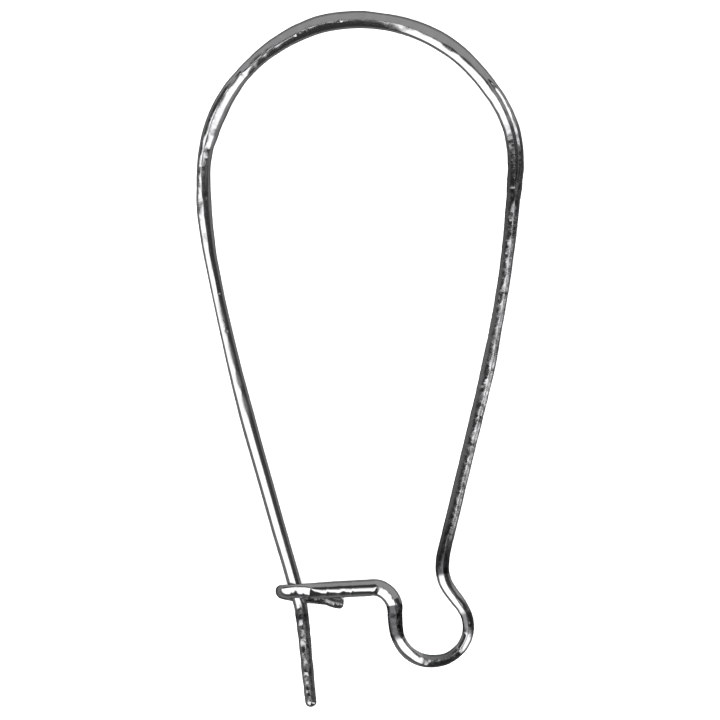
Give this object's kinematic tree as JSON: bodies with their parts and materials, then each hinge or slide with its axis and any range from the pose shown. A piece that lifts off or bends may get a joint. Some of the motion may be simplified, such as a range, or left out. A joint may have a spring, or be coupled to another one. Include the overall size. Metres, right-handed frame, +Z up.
{
  "type": "ear wire",
  "caption": "Kidney ear wire of sprung round wire: an arch with an ear leg that latches in a keeper hook, and a dip that carries a pendant.",
  "frame": {"origin": "middle of the wire's outline, on the surface it lies on", "axes": "+Y from the free end towards the arch, +X from the ear leg towards the back leg, +Z up from the surface it lies on"},
  "size_m": [0.0178, 0.038, 0.0023],
  "materials": {
    "plated_wire": "polished bright silver plating with fine draw lines and small tool marks"
  },
  "bodies": {
    "root": {"ear_wire": "plated_wire"}
  },
  "joints": []
}
